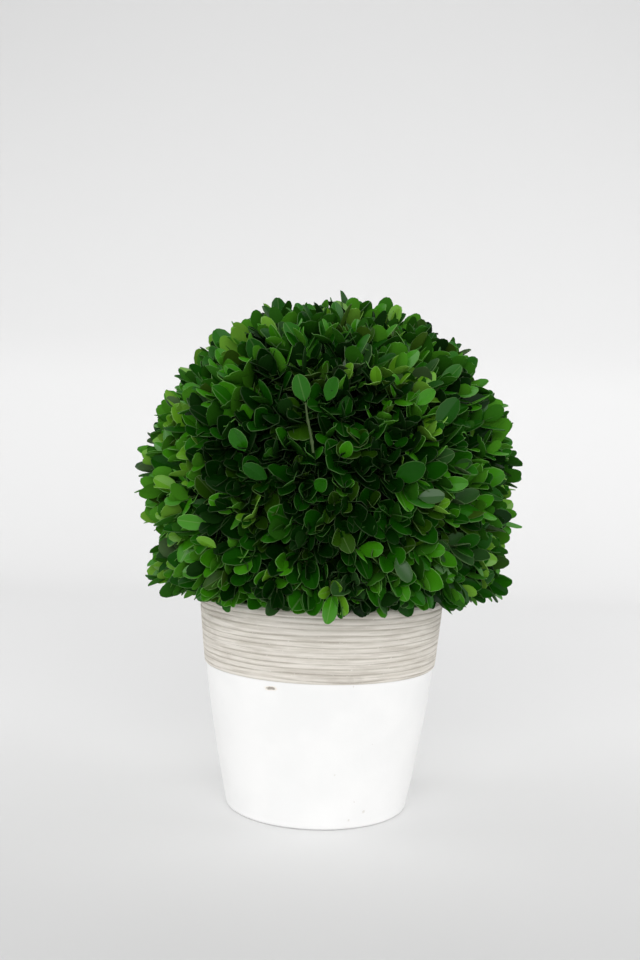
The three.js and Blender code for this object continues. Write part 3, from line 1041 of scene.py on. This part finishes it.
# The side with painted shade, where darker greens are dealt to stand for the shade that falls there, and
# the side with painted light, where brighter greens are dealt for the light that falls there. Each starts
# and ends at the cosine of an angle from that side.
PAINTED_SHADE_SIDE = Vector((-0.16, -1, 0.1)).normalized()
SHADE_START = math.cos(math.radians(47))
SHADE_END = math.cos(math.radians(12))
SHADE_SHARE = 0.95
IN_THE_SHADE = ((0.64, SHADED), (0.83, DEEP), (0.92, OLIVE), (1, MID))  # below this draw, green
PAINTED_LIGHT_SIDE = Vector((-1, -0.35, -0.3)).normalized()
PAINTED_LIGHT_START = 0.5
PAINTED_LIGHT_END = 0.9
PAINTED_LIGHT_SHARE = 0.45
YOUNG_IN_PAINTED_LIGHT = 0.3


def deal_green(growth, age, direction):
    """Deals a spray its green by the shares for its age and its place: darker greens as painted shade on
    one side, brighter greens as painted light on another.
    """
    draw = growth.draws.share()
    # Painted shade: mostly the darkest greens towards the shaded side.
    shade = smoothstep(direction.dot(PAINTED_SHADE_SIDE), SHADE_START, SHADE_END) * SHADE_SHARE
    if growth.draws.share() < shade:
        return next(green for limit, green in IN_THE_SHADE if draw < limit)
    # Painted light: young and fresh greens towards the lit side.
    painted_light = smoothstep(direction.dot(PAINTED_LIGHT_SIDE), PAINTED_LIGHT_START, PAINTED_LIGHT_END) * PAINTED_LIGHT_SHARE
    if growth.draws.share() < painted_light:
        return YOUNG if draw < YOUNG_IN_PAINTED_LIGHT else FRESH
    for number, (_, shares, *_) in enumerate(GREENS[:-1]):
        if draw < shares[age]:
            return number
        draw -= shares[age]
    return len(GREENS) - 1


def paler(colour, share):
    """A colour part of the way to the pale yellow-green of leaf edges."""
    return [own * (1 - share) + pale * share for own, pale in zip(colour, PALE_EDGE)]


def make_leaves(growth):
    forms = leaf_forms()
    shape = leafing()
    for green, (name, _, blade, underside, gloss, paleness) in enumerate(GREENS):
        chosen = [leaf for leaf in growth.leaves if leaf.green == green]
        source = line_mesh(
            "leaf_places_" + name,
            [leaf.root for leaf in chosen],
            edges=[],
            turn=[tuple(leaf.axes.to_euler()) for leaf in chosen],
            size=[(leaf.width, leaf.length, leaf.length) for leaf in chosen],
            form=[leaf.form for leaf in chosen],
        )
        rim, midrib = paler(blade, paleness), paler(blade, paleness * MIDRIB_PALENESS)
        finishes = {
            "blade": plain_finish("leaf_blade_" + name, blade, BLADE_ROUGHNESS, gloss),
            "underside": plain_finish("leaf_underside_" + name, underside, *UNDERSIDE_SHEEN),
            "rim": plain_finish("leaf_rim_" + name, rim, *RIM_SHEEN),
            "midrib": plain_finish("leaf_midrib_" + name, midrib, *RIM_SHEEN),
        }
        leaves = shape.grow("leaves_" + name, source, forms=forms, **finishes)
        finish_piece(leaves, "foliage", "foliage_ball")


def make_heart(turn, roughen):
    """The dense growth inside, which lets no light through; its near-black colour is painted shade."""
    neck_top = -math.acos(NECK_RADIUS / (CORE_SHARE * CROWN_RADIUS))
    profile = [(0, NECK_FOOT), (NECK_RADIUS - 6 * MM, NECK_FOOT + 1 * MM)]
    profile.append((NECK_RADIUS - 1 * MM, NECK_FOOT + 6 * MM))
    for rise in steps(neck_top, math.pi / 2, 40)[:-1]:
        reach = core_reach(rise) - HEART_INSET
        profile.append((reach * math.cos(rise), CROWN_CENTRE.z + reach * math.sin(rise)))
    profile.append((0, CROWN_CENTRE.z + core_reach(math.pi / 2) - HEART_INSET))
    sizes = {"depth": 6 * MM, "grain": 70.0, "above": NECK_FOOT + 10 * MM, "stretch": 1.0}
    heart = turned_piece("inner_growth", turn, profile, 120, roughen, across=CROWN_CENTRE.x,
                         finish=painted_shade_heart_finish(), **sizes)
    finish_piece(heart, "foliage", "foliage_ball")


def make_crown(turn, roughen, bark):
    growth = Growth()
    main = main_sprigs()
    grow_boughs(growth, main)
    for direction in fine_directions():
        sprays = [deal_green(growth, age, direction) for age in SPRAY_AGES]
        grow_sprig(growth, direction, main, sprays)
    grow_strays(growth)
    wood = wooding()
    green_bark = plain_finish("young_bark", (0.045, 0.075, 0.022), 0.6)
    for kind, sides, finish in (("boughs", 8, bark), ("twigs", 5, green_bark)):
        thickness = growth.thickness[kind]
        lines = line_mesh(kind + "_lines", growth.points[kind], growth.edges[kind], thickness=thickness)
        finish_piece(wood.grow(kind, lines, sides=sides, finish=finish), "stem", "foliage_ball")
    make_leaves(growth)
    make_heart(turn, roughen)


# ---------------------------------------------------------------- stage


PICTURE_HEIGHT = 960
FOCAL_PIXELS = 1200
CAMERA_PLACE = Vector((-3.6, -856, 272)) * MM
CAMERA_PITCH = math.radians(2.67)
CAMERA_ROLL = math.radians(1.7)

TABLE_HALF_WIDTH = 9
TABLE_FRONT = -9
WALL_PLACE = 1.5
WALL_HEIGHT = 4
SWEEP_RADIUS = 0.5
PAPER_TONE = 0.84

# (name, place, what it points at, width, height, watts)
SOFTBOXES = (
    ("left_softbox", (-1.5, 0.1, 0.9), (0, 0, 0.2), 1.0, 1.4, 9),
    ("right_softbox", (1.5, 0.1, 0.9), (0, 0, 0.2), 1.0, 1.4, 8.8),
    ("overhead_softbox", (0, 0.2, 1.9), (0, 0, 0), 1.6, 1.6, 6),
    ("front_softbox", (0, -2.4, 1.0), (0, 0, 0.1), 2.4, 1.4, 36),
)
ROOM_LIGHT = 0.58


def make_camera():
    data = bpy.data.cameras.new("camera")
    data.sensor_width = 36
    data.lens = data.sensor_width * FOCAL_PIXELS / PICTURE_HEIGHT
    camera = bpy.data.objects.new("camera", data)
    scene.collection.objects.link(camera)
    level = Matrix.Rotation(math.pi / 2 - CAMERA_PITCH, 4, "X")
    camera.matrix_world = Matrix.Translation(CAMERA_PLACE) @ level @ Matrix.Rotation(CAMERA_ROLL, 4, "Z")
    scene.camera = camera


def make_backdrop():
    """A pale table that sweeps up into a wall."""
    sweep = quarter_round(WALL_PLACE - SWEEP_RADIUS, SWEEP_RADIUS, SWEEP_RADIUS, -90, 0, 24)
    line = [(TABLE_FRONT, 0), *sweep, (WALL_PLACE, WALL_HEIGHT)]
    corners = [(side * TABLE_HALF_WIDTH, y, z) for y, z in line for side in (-1, 1)]
    faces = [(2 * i, 2 * i + 1, 2 * i + 3, 2 * i + 2) for i in range(len(line) - 1)]
    mesh = bpy.data.meshes.new("backdrop")
    mesh.from_pydata(corners, [], faces)
    mesh.shade_smooth()
    finish = Finish("backdrop_paper")
    x, y, z = finish.parts(finish.place)
    # Painted shade: darker in the foreground and on the floor out to behind the pot, high on the wall and
    # to the left, where less light falls. Painted light: paler round the pot's foot, where the pot throws
    # light back.
    painted_floor_shade = y.smooth(-2.6, -1.8) * (1 - y.smooth(-0.3, 0.05)) * 0.16 + (1 - y.smooth(0.3, 1.2)) * 0.07
    high = z.smooth(0.1, 1.3) * 0.13 + z.smooth(0.33, 0.45) * 0.035
    side = (1 - x.smooth(-1.2, 1.2)) * 0.042
    painted_bounce_light = (1 - (x * x + y * y).math("SQRT").smooth(0.05, 0.3)) * 0.07
    tone = PAPER_TONE + painted_bounce_light - painted_floor_shade - high - side
    finish.set(Base_Color=finish.vector(tone, tone, tone), Roughness=0.55)
    mesh.materials.append(finish.material)
    backdrop = bpy.data.objects.new("backdrop", mesh)
    scene.collection.objects.link(backdrop)


def make_light(name, place, target, width, height, watts):
    data = bpy.data.lights.new(name, "AREA")
    data.shape = "RECTANGLE"
    data.size, data.size_y = width, height
    data.energy = watts
    light = bpy.data.objects.new(name, data)
    light.location = place
    light.rotation_euler = (Vector(target) - Vector(place)).to_track_quat("-Z", "Y").to_euler()
    scene.collection.objects.link(light)


def make_lights():
    for softbox in SOFTBOXES:
        make_light(*softbox)
    world = bpy.data.worlds.new("studio")
    world.use_nodes = True
    background = world.node_tree.nodes["Background"]
    background.inputs["Color"].default_value = (1, 1, 1, 1)
    background.inputs["Strength"].default_value = ROOM_LIGHT
    scene.world = world


def main():
    make_camera()
    make_backdrop()
    make_lights()
    turn = turning()
    roughen = roughening()
    bark = bark_finish()
    make_pot(turn)
    make_soil(turn, roughen)
    make_stem(turn, roughen, bark)
    make_crown(turn, roughen, bark)


main()
